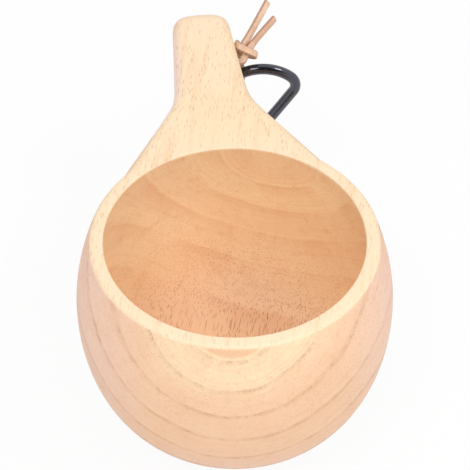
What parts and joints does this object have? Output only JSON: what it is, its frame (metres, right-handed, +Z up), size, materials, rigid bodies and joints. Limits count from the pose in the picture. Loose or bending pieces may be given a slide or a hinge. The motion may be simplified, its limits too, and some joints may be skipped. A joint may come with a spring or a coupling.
{
  "type": "wooden cup",
  "caption": "Carved wooden drinking cup with a round bowl and a flat handle, hung by a knotted leather thong and a small sprung carabiner.",
  "frame": {"origin": "centre of the flat foot, on the bowl's axis, where the cup stands", "axes": "+Z up out of the bowl, +Y from the bowl along the handle, +X to the side of the knot"},
  "size_m": [0.092, 0.153, 0.065],
  "materials": {
    "wood": "sanded and lightly oiled pale wood with fine pores along the grain",
    "leather": "natural undyed strip with a matt face",
    "black_coat": "smooth glossy black coat on round wire",
    "steel": "bright steel"
  },
  "bodies": {
    "cup": {"cup_body": "wood"},
    "thong": {"thong_loop": "leather", "thong_knot": "leather", "thong_tail_long": "leather", "thong_tail_short": "leather"},
    "carabiner": {"carabiner_frame": "black_coat", "gate_hinge_rivet": "steel"},
    "gate": {"carabiner_gate": "black_coat", "gate_latch_pin": "steel", "gate_spring": "steel"},
    "plunger": {"gate_plunger": "steel"}
  },
  "joints": [
    {"name": "thong_swing", "type": "hinge", "parent": "cup", "child": "thong", "pos_m": [0, 0.0845, 0.055], "axis": [0.9703, 0, 0.2419], "range_deg": [-12, 8]},
    {"name": "carabiner_swing", "type": "hinge", "parent": "thong", "child": "carabiner", "pos_m": [0.0113, 0.0861, 0.0467], "axis": [0.0872, 0.9962, 0], "range_deg": [-5, 35]},
    {"name": "gate_swing", "type": "hinge", "parent": "carabiner", "child": "gate", "pos_m": [-0.00033, 0.08712, 0.01927], "axis": [0.0872, 0.9962, 0], "range_deg": [0, 30], "stiffness_Nm_per_rad": 0.02, "springref_deg": -17.19},
    {"name": "plunger_slide", "type": "slide", "parent": "gate", "child": "plunger", "axis": [0.2598, -0.0227, 0.9654], "range_m": [0, 0.0005], "deforming": ["gate_spring"]}
  ],
  "couplings": [
    {"joint": "plunger_slide", "follows": "gate_swing", "m_per_rad": 0.00086}
  ]
}
